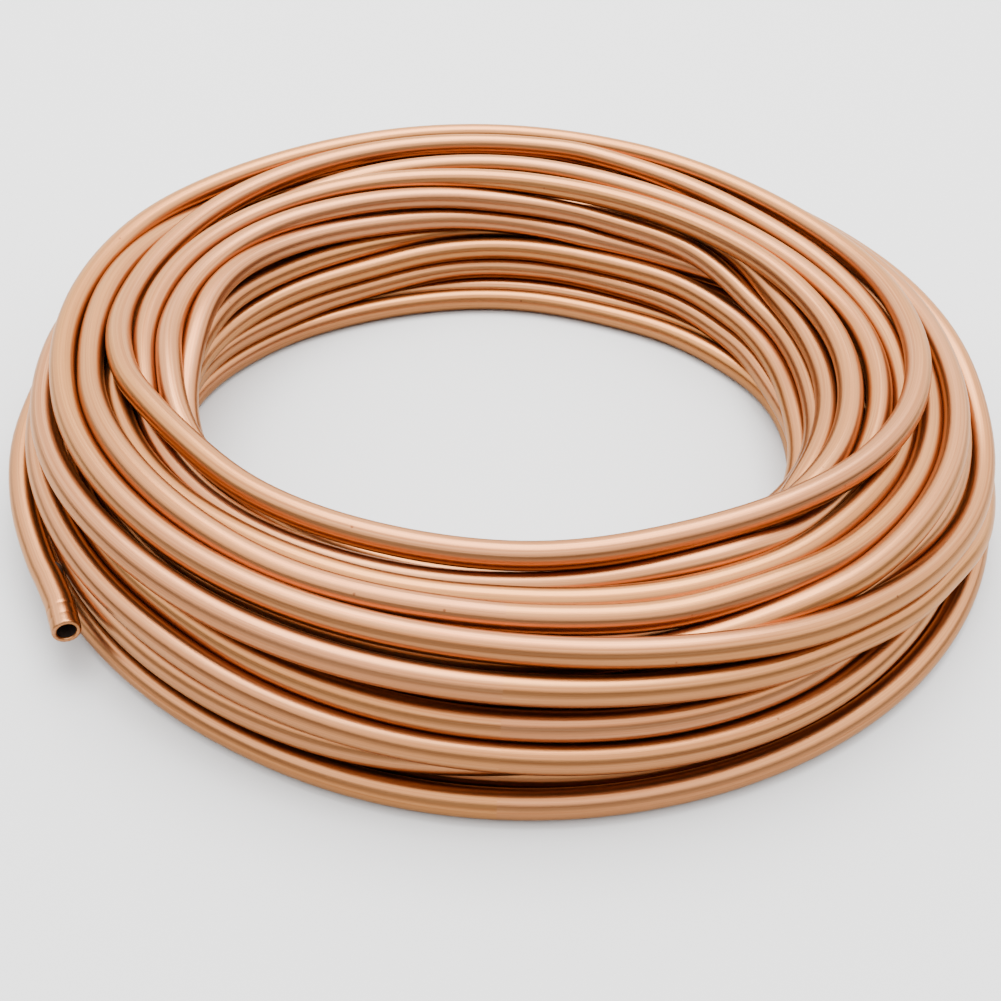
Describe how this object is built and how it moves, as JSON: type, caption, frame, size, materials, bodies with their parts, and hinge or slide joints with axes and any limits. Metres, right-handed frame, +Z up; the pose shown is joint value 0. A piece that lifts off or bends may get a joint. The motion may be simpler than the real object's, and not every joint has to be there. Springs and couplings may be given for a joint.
{
  "type": "copper tube coil",
  "caption": "Coil of soft copper tube lying flat, wound in rows around an open eye, with a free end that a compression or flare fitting goes over.",
  "frame": {"origin": "centre of the coil's eye, on the floor", "axes": "+Z up along the coil's axis, -Y towards the picture's viewer, +X to the picture's right"},
  "size_m": [0.248, 0.248, 0.04],
  "materials": {
    "copper": "satin"
  },
  "bodies": {
    "root": {"tube_coil": "copper"}
  },
  "joints": []
}
